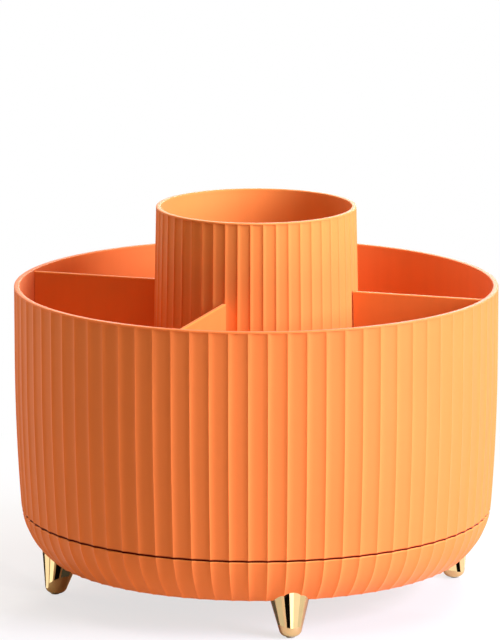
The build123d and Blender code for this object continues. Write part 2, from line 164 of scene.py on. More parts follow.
class Surface(Graph):
    """Shader tree of one material, with the few nodes that its finishes share."""

    def __init__(self, name: str) -> None:
        """Starts a material with a Principled shader.

        Args:
            name: Name of the finish.
        """
        self.material = bpy.data.materials.new(name + "_finish")
        self.material.use_nodes = True
        super().__init__(self.material.node_tree)
        self.shader = self.tree.nodes["Principled BSDF"]
        self.place = self.node("ShaderNodeTexCoord").outputs["Object"]

    def noise(self, feature: float, detail: float = 2.0, stretch: tuple = (1, 1, 1)) -> Value:
        """Noise on the object's own coordinates.

        Args:
            feature: Size of a blotch, in millimetres.
            detail: Octaves of finer noise.
            stretch: Share of the frequency along X, Y and Z.

        Returns:
            Noise from 0 to 1.
        """
        mapping = self.node("ShaderNodeMapping", {"Vector": self.place, "Scale": stretch})
        feeds = {"Vector": mapping.outputs["Vector"], "Scale": 1 / (feature * MM), "Detail": detail}
        return self.value("ShaderNodeTexNoise", "Fac", feeds)

    def relief(self, height: Value, depth: float, strength: float = 1.0) -> None:
        """Feeds the shader's normal from a relief from 0 to 1, with its depth in millimetres."""
        feeds = {"Height": height, "Distance": depth * MM, "Strength": strength}
        self.feed(self.shader.inputs["Normal"], self.node("ShaderNodeBump", feeds).outputs["Normal"])

    def finish(self, **feeds: Feed) -> bpy.types.Material:
        """Feeds the shader's sockets.

        Args:
            feeds: Values by socket name, with underscores for spaces.

        Returns:
            The finished material.
        """
        for name, value in feeds.items():
            self.feed(self.shader.inputs[name.replace("_", " ").title().replace("Ior", "IOR")], value)
        return self.material


def linear(*screen: int) -> tuple:
    """Linear colour, with an alpha of 1, of a screen colour given as red, green and blue up to 255."""
    shares = [channel / 255 for channel in screen]
    return (*[s / 12.92 if s <= 0.04045 else ((s + 0.055) / 1.055) ** 2.4 for s in shares], 1.0)


@dataclass(frozen=True)
class Coating:
    """What every finish has: its name and its linear colour."""

    name: str
    colour: tuple

    def tone(self, factor: float) -> tuple:
        """The colour made lighter or darker by a factor."""
        return (*[min(channel * factor, 1.0) for channel in self.colour[:3]], 1.0)

    def uneven(self, surface: Surface, share: Value, width: float) -> Socket:
        """The colour, darker by a width where the share is 0 and lighter where it is 1."""
        return surface.blend(share, self.tone(1 - width), self.tone(1 + width))


@dataclass(frozen=True)
class SatinPlastic(Coating):
    """Moulded plastic with a fine spark-eroded grain, darker flute hollows, painted highlights on ridges and
    edges, and painted shade in gaps.
    """

    roughness: float = 0.5
    rough_swing: float = 0.10
    ridge_polish: float = 0.05
    gloss: float = 0.08
    bloom: float = 0.08
    bloom_roughness: float = 0.5
    grain: float = 0.5
    coarse_grain: float = 5.0
    coarse_share: float = 0.25
    grain_depth: float = 0.012
    cloud: float = 38.0
    streak: float = 5.0
    streak_stretch: tuple = (1, 1, 0.08)
    streak_share: float = 0.4
    tone_ramp: tuple = (0.3, 0.7)
    unevenness: float = 0.035
    valley_share: float = 0.8
    valley_dark: float = 0.93
    ridge_highlight_share: float = 0.7
    ridge_highlight: float = 1.10
    edge_highlight_share: float = 0.8
    edge_highlight: float = 1.35
    highlight_height: float | None = None
    highlight_fade: float = 0.5
    gap_shade_colour: tuple = linear(145, 26, 0)

    def material(self) -> bpy.types.Material:
        """Builds the material.

        Returns:
            The material.
        """
        surface = Surface(self.name)
        clouds = surface.noise(self.cloud, detail=3.0).ramp(*self.tone_ramp)
        streaks = surface.noise(self.streak, stretch=self.streak_stretch).ramp(*self.tone_ramp)
        tone = clouds * (1 - self.streak_share) + streaks * self.streak_share
        valley, ridge, edge, gap = (surface.attribute(mark) for mark in ("valley", "ridge", "edge", "gap"))
        # Painted highlight on edges: the edge mask, or on a plate a band just under the given height.
        if self.highlight_height is not None:
            height = surface.value("ShaderNodeSeparateXYZ", "Z", {0: surface.place})
            edge = height.ramp((self.highlight_height - self.highlight_fade) * MM, self.highlight_height * MM)
        body = self.uneven(surface, tone, self.unevenness)
        body = surface.blend(valley * self.valley_share, body, self.tone(self.valley_dark))
        # Painted highlight: the colour is made lighter along the flutes' ridges.
        body = surface.blend(ridge * self.ridge_highlight_share, body, self.tone(self.ridge_highlight))
        # Painted highlight: the colour is made lighter on rounded edges and along the plates' top edges.
        body = surface.blend(edge * self.edge_highlight_share, body, self.tone(self.edge_highlight))
        # Painted shade: faces in the seam's gap take a dark red-brown colour.
        body = surface.blend(gap, body, self.gap_shade_colour)
        fine, coarse = surface.noise(self.grain), surface.noise(self.grain * self.coarse_grain)
        surface.relief(fine * (1 - self.coarse_share) + coarse * self.coarse_share, self.grain_depth)
        return surface.finish(
            base_color=body,
            roughness=self.roughness + coarse.swing(self.rough_swing) - ridge * self.ridge_polish,
            specular_ior_level=self.gloss,
            sheen_weight=self.bloom,
            sheen_roughness=self.bloom_roughness,
        )


@dataclass(frozen=True)
class PlatedGold(Coating):
    """Bright pale gold plating with faint ripples and hairlines."""

    roughness: float = 0.05
    ripple: float = 4.0
    unevenness: float = 0.05
    hairline: float = 0.35
    hairline_stretch: tuple = (1, 1, 0.12)
    hairline_ramp: tuple = (0.45, 0.8)
    hairline_dull: float = 0.07
    hairline_share: float = 0.1
    relief: tuple = (0.02, 0.6)

    def material(self) -> bpy.types.Material:
        """Builds the material.

        Returns:
            The material.
        """
        surface = Surface(self.name)
        ripple = surface.noise(self.ripple, detail=1.0)
        hairline = surface.noise(self.hairline, stretch=self.hairline_stretch)
        tone = self.uneven(surface, ripple, self.unevenness)
        surface.relief(ripple * (1 - self.hairline_share) + hairline * self.hairline_share, *self.relief)
        rough = self.roughness + hairline.ramp(*self.hairline_ramp) * self.hairline_dull
        return surface.finish(base_color=tone, roughness=rough, metallic=1.0)


@dataclass(frozen=True)
class TurnedMetal(Coating):
    """Machined or plated steel and brass with tool marks."""

    roughness: float = 0.28
    mark: float = 0.3
    mark_stretch: tuple = (1, 1, 4)
    stain: float = 6.0
    stain_ramp: tuple = (0.35, 0.75)
    stain_dark: float = 0.9
    rough_swing: float = 0.2
    relief: tuple = (0.01, 0.5)

    def material(self) -> bpy.types.Material:
        """Builds the material.

        Returns:
            The material.
        """
        surface = Surface(self.name)
        stain = surface.noise(self.stain, detail=3.0)
        tone = surface.blend(stain.ramp(*self.stain_ramp), self.tone(self.stain_dark), self.colour)
        surface.relief(surface.noise(self.mark, stretch=self.mark_stretch), *self.relief)
        rough = self.roughness + stain.swing(self.rough_swing)
        return surface.finish(base_color=tone, roughness=rough, metallic=1.0)


@dataclass(frozen=True)
class WaxyPlastic(Coating):
    """Unpainted engineering plastic or soft rubber, slightly milky."""

    roughness: float = 0.35
    clear: float = 0.0
    refraction: float = 1.43
    haze: float = 3.0
    haze_dark: float = 0.93
    pits: float = 0.25
    rough_swing: float = 0.12
    relief: tuple = (0.006, 0.6)

    def material(self) -> bpy.types.Material:
        """Builds the material.

        Returns:
            The material.
        """
        surface = Surface(self.name)
        haze = surface.noise(self.haze)
        tone = surface.blend(haze, self.tone(self.haze_dark), self.colour)
        surface.relief(surface.noise(self.pits), *self.relief)
        rough = self.roughness + haze.swing(self.rough_swing)
        clear = {"transmission_weight": self.clear, "ior": self.refraction}
        return surface.finish(base_color=tone, roughness=rough, **clear)


class Finish(Enum):
    """Finishes of the organizer. The cup's and the plates' plastics are lighter and darker copies of the
    tub's, which paint light and shade, and share one slot of the record.
    """

    ORANGE = SatinPlastic("orange_plastic", linear(241, 131, 64))
    # Painted light: a lighter copy of the tub's plastic stands for the brighter light on the cup.
    LIGHTER_CUP = SatinPlastic("orange_cup_plastic_lighter", linear(243, 145, 70))
    # Painted shade and highlight: a darker copy of the tub's plastic for the dividers, lighter along their
    # top edges.
    DARKER_PLATE = SatinPlastic("orange_plate_plastic_darker", linear(237, 127, 54), highlight_height=124.3)
    INNER = SatinPlastic("orange_inner_plastic", linear(208, 104, 42), gloss=0.4, grain=0.8, grain_depth=0.02)
    GOLD = PlatedGold("gold_plating", linear(232, 204, 152))
    ACETAL = WaxyPlastic("white_acetal", linear(226, 223, 214))
    BALLS = TurnedMetal("bearing_steel", linear(186, 188, 190), roughness=0.12, mark=0.1)
    ZINC = TurnedMetal("zinc_steel", linear(170, 174, 178), roughness=0.3)
    BRASS = TurnedMetal("brass", linear(196, 152, 82), roughness=0.26)
    SILICONE = WaxyPlastic("clear_silicone", linear(216, 214, 206), roughness=0.3, clear=0.35)

    @property
    def slot(self) -> str:
        """The record's slot of the finish."""
        return Finish.ORANGE.value.name if self in (Finish.LIGHTER_CUP, Finish.DARKER_PLATE) else self.value.name

    @cache
    def coat(self) -> bpy.types.Material:
        """Material of the finish, built once."""
        return self.value.material()


@dataclass(frozen=True)
class Corner:
    """Corner of a half section: radius, height, rounding, how far the flutes cut, and its painted light.

    The painted light goes from 1, a painted highlight on an edge, over 0 to -1, painted shade on a face in a
    gap.
    """

    r: float
    z: float
    round: float = 0.0
    flute: float = 0.0
    look: float = 0.0


def rounded_line(corners: list[Corner], closed: bool, arc_steps: int = 4) -> list[Corner]:
    """Replaces rounded corners by arcs, worked out in the complex plane of radius and height.

    Args:
        corners: Corners of the line in order.
        closed: Whether the last corner joins the first.
        arc_steps: Pieces of each arc.

    Returns:
        Points of the line, with the first repeated at the end where it is closed.
    """
    line: list[Corner] = []
    for index, corner in enumerate(corners):
        if corner.round <= 0 or not (closed or 0 < index < len(corners) - 1):
            line.append(corner)
            continue
        here = complex(corner.r, corner.z)
        beside = (corners[index - 1], corners[(index + 1) % len(corners)])
        ways = [complex(other.r, other.z) - here for other in beside]
        units = [way / abs(way) for way in ways]
        half = abs(phase(units[1] / units[0])) / 2
        centre = here + sum(units) / abs(sum(units)) * corner.round / sin(half)
        start, end = (here + unit * corner.round / tan(half) - centre for unit in units)
        for step in range(arc_steps + 1):
            point = centre + start * rect(1.0, phase(end / start) * step / arc_steps)
            line.append(Corner(point.real, point.imag, 0.0, corner.flute, corner.look))
    return line + line[:1] if closed else line


@dataclass
class Fluting:
    """Even concave flutes round the axis: count, depth against the radius, first ridge, and steps of each."""

    count: int
    depth_share: float
    first_ridge: float
    steps: int = 12


class ShapeTree(Graph):
    """Geometry tree with named inputs that ends in real geometry with its material."""

    def __init__(self, name: str, **sizes: str) -> None:
        """Starts the tree.

        Args:
            name: Name of the tree.
            sizes: Kinds of its own inputs, by name with underscores for spaces.
        """
        super().__init__(bpy.data.node_groups.new(name, "GeometryNodeTree"))
        for size, kind in {"Geometry": "Geometry", **sizes, "Material": "Material"}.items():
            socket = {"in_out": "INPUT", "socket_type": "NodeSocket" + kind}
            self.tree.interface.new_socket(size.replace("_", " "), **socket)
        self.tree.interface.new_socket("Geometry", in_out="OUTPUT", socket_type="NodeSocketGeometry")
        self.inputs = self.node("NodeGroupInput").outputs

    def size(self, name: str) -> Value:
        """Number input of the tree."""
        return Value(self, self.inputs[name])

    def change(self, kind: str, source: Socket, feeds: dict | None = None, **settings: object) -> Socket:
        """Puts a geometry through a node whose type is named without its first two words."""
        return self.node("GeometryNode" + kind, {0: source, **(feeds or {})}, **settings).outputs[0]

    def end(self, source: Socket) -> None:
        """Realizes and dresses a geometry and gives it out.

        Args:
            source: Geometry, with instances or without.
        """
        real = self.change("RealizeInstances", source)
        dressed = self.change("SetMaterial", real, {"Material": self.inputs["Material"]})
        self.node("NodeGroupOutput", {"Geometry": dressed})


class TurnedTree(ShapeTree):
    """Geometry tree that turns a half section round the axis and cuts flutes into it."""

    PINCH = 0.85
    FLATNESS = 3.3
    RIDGE_POWER = 6.0
    VALLEY_POWER = 3.0
    MERGE_DISTANCE = 0.0005
    CREASE_ANGLE = 42.0

    def __init__(self) -> None:
        """Builds the tree once, with its sizes as named inputs."""
        counts = {"Flute_Count": "Int", "Steps_per_Flute": "Int"}
        super().__init__("turned_and_fluted", **counts, Depth_Share="Float", First_Ridge="Float")
        section = self.inputs["Geometry"]
        flutes, steps = self.size("Flute Count"), self.size("Steps per Flute")
        counted = {0: section}
        points = self.value("GeometryNodeAttributeDomainSize", "Point Count", counted, component="MESH")
        grid_size = {"Size X": 1.0, "Size Y": 1.0, "Vertices X": flutes * steps + 1, "Vertices Y": points}
        grid = self.node("GeometryNodeMeshGrid", grid_size)
        index = self.value("GeometryNodeInputIndex", "Index")
        column = (index / points).floor()
        row = index - column * points
        place = self.sample("FLOAT_VECTOR", self.node("GeometryNodeInputPosition").outputs[0], row)
        split = self.node("ShaderNodeSeparateXYZ", {0: place})
        cut, look = (Value(self, self.sample("FLOAT", self.named(name), row)) for name in ("flute", "look"))
        turn = column / steps
        share = turn - turn.floor()
        eased = share - (share * FULL_TURN).sin() * (self.PINCH / FULL_TURN)
        hollow = 1 - self.math("ABSOLUTE", 2 * eased - 1) ** self.FLATNESS
        angle = self.size("First Ridge") + (turn.floor() + eased) * FULL_TURN / flutes
        radius = Value(self, split.outputs["X"]) * (1 - self.size("Depth Share") * cut * hollow)
        spot = {"X": radius * angle.sin(), "Y": 0 - radius * angle.cos(), "Z": split.outputs["Z"]}
        skin = self.node("ShaderNodeCombineXYZ", spot).outputs[0]
        shape = self.change("SetPosition", grid.outputs[0], {"Position": skin})
        # Masks for the material: ridge and edge carry painted highlights, gap carries painted shade, valley
        # marks the flutes' hollows.
        marks = {
            "ridge": (1 - hollow) ** self.RIDGE_POWER * cut,
            "valley": hollow ** self.VALLEY_POWER * cut,
            "edge": self.math("MAXIMUM", look, 0.0),
            "gap": self.math("MAXIMUM", 0 - look, 0.0),
        }
        for name, value in marks.items():
            mark = {"Name": name, "Value": value}
            shape = self.change("StoreNamedAttribute", shape, mark, data_type="FLOAT")
        shape = self.change("MergeByDistance", shape, {"Distance": self.MERGE_DISTANCE * MM})
        shape = self.change("FlipFaces", shape)
        shape = self.change("SetShadeSmooth", shape, domain="FACE")
        bend = self.value("GeometryNodeInputMeshEdgeAngle", "Unsigned Angle")
        sharp = self.math("GREATER_THAN", bend, radians(self.CREASE_ANGLE))
        crease = {"Selection": sharp, "Shade Smooth": False}
        self.end(self.change("SetShadeSmooth", shape, crease, domain="EDGE"))

    def named(self, name: str) -> Socket:
        """Number attribute by name."""
        node = self.node("GeometryNodeInputNamedAttribute", {"Name": name}, data_type="FLOAT")
        return node.outputs["Attribute"]

    def sample(self, kind: str, value: Socket, index: Value) -> Socket:
        """Reads a value of one point of the half section."""
        feeds = {"Geometry": self.inputs["Geometry"], "Value": value, "Index": index}
        return self.node("GeometryNodeSampleIndex", feeds, data_type=kind).outputs["Value"]


class RingTree(ShapeTree):
    """Geometry tree that repeats an item at even steps round the axis."""

    def __init__(self) -> None:
        """Builds the tree once, with its sizes as named inputs."""
        super().__init__("repeated_round_axis", Count="Int", First_Bearing="Float")
        count = self.size("Count")
        turn = self.size("First Bearing") + self.value("GeometryNodeInputIndex", "Index") * FULL_TURN / count
        points = self.node("GeometryNodePoints", {"Count": count, "Position": (0, 0, 0)}).outputs[0]
        twist = self.node("ShaderNodeCombineXYZ", {"Z": turn}).outputs[0]
        item = {"Instance": self.inputs["Geometry"], "Rotation": twist}
        self.end(self.change("InstanceOnPoints", points, item))


def placed(name: str, data: bpy.types.ID) -> Piece:
    """Makes an object and links it to the scene.

    Args:
        name: Name of the object.
        data: Its mesh, light or camera.

    Returns:
        The object.
    """
    thing = bpy.data.objects.new(name, data)
    bpy.context.scene.collection.objects.link(thing)
    return thing


class Maker:
    """Makes plain mesh pieces, from listed points or through the geometry trees."""

    def __init__(self) -> None:
        """Builds both geometry trees."""
        self.turned = TurnedTree()
        self.ring = RingTree()

    def piece(self, name: str, vertices: list, faces: list, edges: tuple | list = ()) -> Piece:
        """Object from points given in millimetres.

        Args:
            name: Name of the piece.
            vertices: Points in millimetres.
            faces: Faces as lists of point numbers.
            edges: Edges, where there are no faces.

        Returns:
            The new object, linked to the scene.
        """
        mesh = bpy.data.meshes.new(name)
        mesh.from_pydata([tuple(c * MM for c in vertex) for vertex in vertices], edges, faces)
        return placed(name, mesh)

    def stacked(self, name: str, *stacks: list[list[tuple]]) -> Piece:
        """Piece of one or more closed skins, each over a stack of rings of points.

        Args:
            name: Name of the piece.
            stacks: Stacks of rings of as many points, counter-clockwise as seen from the stack's end.

        Returns:
            The piece.
        """
        vertices: list = []
        faces: list = []
        for rings in stacks:
            size, first = len(rings[0]), len(vertices)
            last = first + (len(rings) - 1) * size
            vertices += [point for ring in rings for point in ring]
            for low, step in product(range(first, last, size), range(size)):
                after = (step + 1) % size
                faces.append([low + step, low + after, low + size + after, low + size + step])
            faces += [list(range(first, first + size))[::-1], list(range(last, last + size))]
        return self.piece(name, vertices, faces)

    def grown(self, piece: Piece, tree: ShapeTree, **values: Feed) -> Piece:
        """Runs a geometry tree on a piece and keeps the result as a plain mesh.

        Args:
            piece: Object with the tree's input mesh.
            tree: Geometry tree.
            values: Inputs of the tree, by name with underscores for spaces.

        Returns:
            The piece with its new mesh.
        """
        modifier = piece.modifiers.new("shape", "NODES")
        modifier.node_group = tree.tree
        items = tree.tree.interface.items_tree
        sockets = {item.name: item.identifier for item in items if item.in_out == "INPUT"}
        for name, value in values.items():
            modifier[sockets[name.replace("_", " ")]] = value
        bpy.context.view_layer.update()
        evaluated = piece.evaluated_get(bpy.context.evaluated_depsgraph_get())
        mesh = bpy.data.meshes.new_from_object(evaluated)
        piece.modifiers.clear()
        piece.data = mesh
        return piece

    def shell(self, name: str, line: list[Corner], fluting: Fluting, finish: Finish) -> Piece:
        """Turns a half section round the axis, with flutes.

        Args:
            name: Name of the piece.
            line: Points of the half section, with the material on their right.
            fluting: Flutes of the shell.
            finish: Finish of the shell.

        Returns:
            The shell.
        """
        joints = [(index, index + 1) for index in range(len(line) - 1)]
        piece = self.piece(name, [(point.r, 0, point.z) for point in line], [], joints)
        for mark in ("flute", "look"):
            values = piece.data.attributes.new(mark, "FLOAT", "POINT")
            values.data.foreach_set("value", [getattr(point, mark) for point in line])
        return self.grown(
            piece,
            self.turned,
            Flute_Count=fluting.count,
            Steps_per_Flute=fluting.steps,
            Depth_Share=fluting.depth_share,
            First_Ridge=radians(fluting.first_ridge),
            Material=finish.coat(),
        )

    def repeated(self, item: Piece, bearing: float, finish: Finish, count: int = len(QUARTERS)) -> Piece:
        """Turns an item at the front to a bearing, and repeats it at even steps from there."""
        sizes = {"Count": count, "First_Bearing": radians(bearing)}
        return self.grown(item, self.ring, **sizes, Material=finish.coat())


def spot(reach: float, bearing: float) -> tuple[float, float]:
    """X and Y of a place, from its distance and its bearing."""
    turn = radians(bearing)
    return reach * sin(turn), -reach * cos(turn)


def round_rings(levels: list[tuple], circle: float, segments: int) -> list[list[tuple]]:
    """Rings of a small round item in front of the axis, from the radius and height of each."""
    angles = [FULL_TURN * step / segments for step in range(segments)]
    return [[(r * cos(angle), r * sin(angle) - circle, z) for angle in angles] for r, z in levels]


def settle(piece: Piece, body: str, finish: Finish, *nodes: str) -> None:
    """Lets a piece ride on its body, and stand for CAD nodes.

    Args:
        piece: Finished piece.
        body: Body that it moves with.
        finish: Its finish, which is only logged.
        nodes: CAD nodes that it replaces.
    """
    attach(piece, body)
    if nodes:
        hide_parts(*nodes)
    LOG.info("%s: %d faces, %s", piece.name, len(piece.data.polygons), finish.value.name)


def dress(finish: Finish, *nodes: str) -> None:
    """Gives CAD nodes their finish.

    Args:
        finish: Finish of the nodes.
        nodes: Names of the nodes.
    """
    for name in nodes:
        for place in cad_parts[name].material_slots:
            place.material = finish.coat()
        LOG.info("%s: kept, %s", name, finish.value.name)


@dataclass
class OuterForm:
    """Outer form that tub and base share: a leaning side that turns in to the flat underside."""

    rim_radius: float = 97.15
    rim_top: float = 124.9
    belly: float = 95.0
    lean: float = 4.1
    turn: float = 36.0
    underside: float = 15.0
    edge_angle: float = 53.4
    seam_top: float = 33.85
    seam_bottom: float = 33.35
    flute_depth: float = 0.65
    flute_count: int = 80
    first_ridge: float = 2.66

    def radius(self, height: float) -> float:
        """Radius of the ridges at a height.

        Args:
            height: Height above the ground.

        Returns:
            The radius.
        """
        lean, edge = radians(self.lean), radians(self.edge_angle)
        side = (self.belly - self.turn) / sin(lean)
        if height >= self.belly:
            return self.rim_radius
        if height >= self.turn:
            return self.rim_radius - side + sqrt(side**2 - (self.belly - height) ** 2)
        bend = (self.turn - self.underside) / (sin(edge) - sin(lean))
        centre_radius = self.rim_radius - side * (1 - cos(lean)) - bend * cos(lean)
        centre_height = self.turn + bend * sin(lean)
        return centre_radius + sqrt(bend**2 - (centre_height - height) ** 2)

    def corner(self, height: float, inset: float = 0.0, flute: float = 1.0, **painted_lights: float) -> Corner:
        """Corner of a half section on the side, or a wall's thickness inside it."""
        return Corner(self.radius(height) - inset, height, flute=flute, **painted_lights)

    def stretch(self, start: float, end: float, steps: int, *wall: float) -> list[Corner]:
        """Corners at even steps between two heights, without the ends, and their inset and flute share."""
        return [self.corner(start + (end - start) * step / steps, *wall) for step in range(1, steps)]

    def fluting(self) -> Fluting:
        """Flutes of tub and base."""
        return Fluting(self.flute_count, self.flute_depth / self.rim_radius, self.first_ridge)


@dataclass
class Tub:
    """Turning part: outer tub, brush cup and dividers."""

    form: OuterForm
    maker: Maker
    wall: float = 2.2
    floor_top: float = 37.3
    underside: float = 35.1
    corner: float = 5.0
    inner_steps: int = 6
    outer_steps: int = 8
    lip_height: float = 0.8
    lip_round: float = 0.38
    lip_highlight: float = 0.12
    edge_round: float = 0.22
    seam_shade: float = -0.7
    skirt_radius: float = 92.6
    rib_radii: tuple = ((60.0, 62.0), (41.9, 43.9))
    rib_height: float = 2.0
    rib_round: float = 0.3
    boss_radius: float = 7.7
    boss_bottom: float = 27.2
    nut_radius: float = 4.3
    nut_top: float = 35.2
    cup_radius: float = 40.1
    cup_top: float = 156.7
    cup_draft: float = 1.2
    cup_wall: float = 1.9
    cup_foot_round: float = 0.2
    cup_flutes: int = 50
    cup_flute_depth: float = 0.5
    cup_first_ridge: float = 3.9
    spigot_height: float = 3.0
    spigot_wall: float = 1.6
    spigot_round: float = 0.4
    spigot_play: float = 0.16
    first_divider: float = -18.2
    divider_thickness: float = 1.8
    divider_play: float = 0.1
    rail_width: float = 1.2
    rail_height: float = 2.5
    rail_gap: float = 6.0
    rail_root: float = 0.2
    rail_bevel: float = 0.4
    screw_boss_radius: float = 3.3
    screw_boss_circle: float = 38.5
    screw_boss_height: float = 8.7
    screw_boss_bevel: float = 0.6
    screw_boss_ease: float = 0.18
    screw_boss_segments: int = 28

    def cup_outer(self, height: float) -> float:
        """Radius of the cup's ridges at a height."""
        return self.cup_radius + (self.cup_top - height) * tan(radians(self.cup_draft))

    def tub_line(self) -> list[Corner]:
        """Half section of the tub, from the floor's middle over the rim and back under the floor.

        Returns:
            Points of the open line.
        """
        form, floor, rim = self.form, self.floor_top, self.form.rim_radius
        inner, lip_bottom = rim - self.wall, form.rim_top - self.lip_height
        spigot = self.cup_outer(floor) - self.cup_wall - self.spigot_play
        spigot_top, rib_bottom = floor + self.spigot_height, self.underside - self.rib_height
        corners = [
            Corner(0.0, floor),
            Corner(spigot - self.spigot_wall, floor, self.spigot_round),
            Corner(spigot - self.spigot_wall, spigot_top, self.spigot_round),
            Corner(spigot, spigot_top, self.spigot_round),
            Corner(spigot, floor),
            form.corner(floor, self.wall, 0.0, round=self.corner),
            *form.stretch(floor + self.corner, form.belly, self.inner_steps, self.wall, 0.0),
            Corner(inner, form.belly),
            Corner(inner, form.rim_top - 2 * self.lip_round),
            # Painted highlight on the lip's rounded top corners.
            Corner(inner, form.rim_top, self.lip_round, look=self.lip_highlight),
            Corner(rim, form.rim_top, self.lip_round, look=self.lip_highlight),
            Corner(rim, lip_bottom + self.edge_round),
            form.corner(lip_bottom),
            form.corner(form.belly),
            *form.stretch(form.belly, form.turn, self.outer_steps),
            form.corner(form.turn),
            form.corner(form.seam_top + 2 * self.edge_round),
            # Painted shade on the tub's lower edge over the seam and on the skirt inside the gap.
            form.corner(form.seam_top, round=self.edge_round, look=self.seam_shade),
            Corner(self.skirt_radius, form.seam_top, self.edge_round, look=-1.0),
            Corner(self.skirt_radius, self.underside, look=-1.0),
        ]
        for rib_inner, rib_outer in self.rib_radii:
            corners += [
                Corner(rib_outer, self.underside),
                Corner(rib_outer, rib_bottom, self.rib_round),
                Corner(rib_inner, rib_bottom, self.rib_round),
                Corner(rib_inner, self.underside),
            ]
        corners += [
            Corner(self.boss_radius, self.underside),
            Corner(self.boss_radius, self.boss_bottom, self.rib_round),
            Corner(self.nut_radius, self.boss_bottom),
            Corner(self.nut_radius, self.nut_top),
            Corner(0.0, self.nut_top),
        ]
        return rounded_line(corners, False)

    def cup_line(self) -> list[Corner]:
        """Half section of the cup, up its inside, over the lip and down its flutes.

        Returns:
            Points of the closed line.
        """
        lip_bottom = self.cup_top - self.lip_height
        lip, foot = self.cup_outer(lip_bottom), self.cup_outer(self.floor_top)
        corners = [
            Corner(foot - self.cup_wall, self.floor_top, self.cup_foot_round),
            Corner(lip - self.cup_wall, lip_bottom),
            # Painted highlight on the cup lip's rounded top corners.
            Corner(lip - self.cup_wall, self.cup_top, self.lip_round, look=self.lip_highlight),
            Corner(lip, self.cup_top, self.lip_round, look=self.lip_highlight),
            Corner(lip, lip_bottom + self.edge_round),
            Corner(lip, lip_bottom, flute=1.0),
            Corner(foot, self.floor_top, self.cup_foot_round, 1.0),
        ]
        return rounded_line(corners, True)

    def rails(self) -> Piece:
        """Rails beside the dividers' lower edges, in pairs.

        Returns:
            The rails.
        """
        start = self.cup_outer(self.floor_top) + self.rail_gap
        end = self.form.radius(self.floor_top) - self.wall - self.rail_gap
        near = self.divider_thickness / 2 + self.divider_play
        far, slope = near + self.rail_width, self.rail_bevel
        root, top = self.floor_top - self.rail_root, self.floor_top + self.rail_height
        section = [(near, root), (near, top - slope), (near + slope, top)]
        section += [(far - slope, top), (far, top - slope), (far, root)]
        stacks = []
        for side in (-1, 1):
            turned = [(side * x, z) for x, z in section][::-side]
            stacks.append([[(x, -distance, z) for x, z in turned] for distance in (start, end)])
        item = self.maker.stacked("divider_rails", *stacks)
        return self.maker.repeated(item, self.first_divider, Finish.ORANGE)

    def screw_bosses(self) -> Piece:
        """Screw bosses at the cup's foot, between the dividers.

        Returns:
            The bosses.
        """
        radius, top = self.screw_boss_radius, self.floor_top + self.screw_boss_height
        ease, bevel = self.screw_boss_ease, self.screw_boss_bevel
        levels = [(radius, self.floor_top), (radius, top - bevel)]
        levels += [(radius - ease, top - ease), (radius - bevel, top)]
        rings = round_rings(levels, self.screw_boss_circle, self.screw_boss_segments)
        item = self.maker.stacked("cup_screw_bosses", rings)
        return self.maker.repeated(item, self.first_divider + QUARTER_TURN / 2, Finish.ORANGE)

    def build(self) -> None:
        """Makes the tub's pieces and dresses its dividers."""
        shell = self.maker.shell("tub_shell", self.tub_line(), self.form.fluting(), Finish.ORANGE)
        settle(shell, "tub", Finish.ORANGE, "tub")
        cup_fluting = Fluting(self.cup_flutes, self.cup_flute_depth / self.cup_radius, self.cup_first_ridge)
        cup = self.maker.shell("cup_shell", self.cup_line(), cup_fluting, Finish.LIGHTER_CUP)
        settle(cup, "tub", Finish.LIGHTER_CUP, "brush_cup")
        settle(self.rails(), "tub", Finish.ORANGE)
        settle(self.screw_bosses(), "tub", Finish.ORANGE)
        dress(Finish.DARKER_PLATE, *(quarter + "_divider" for quarter in QUARTERS))


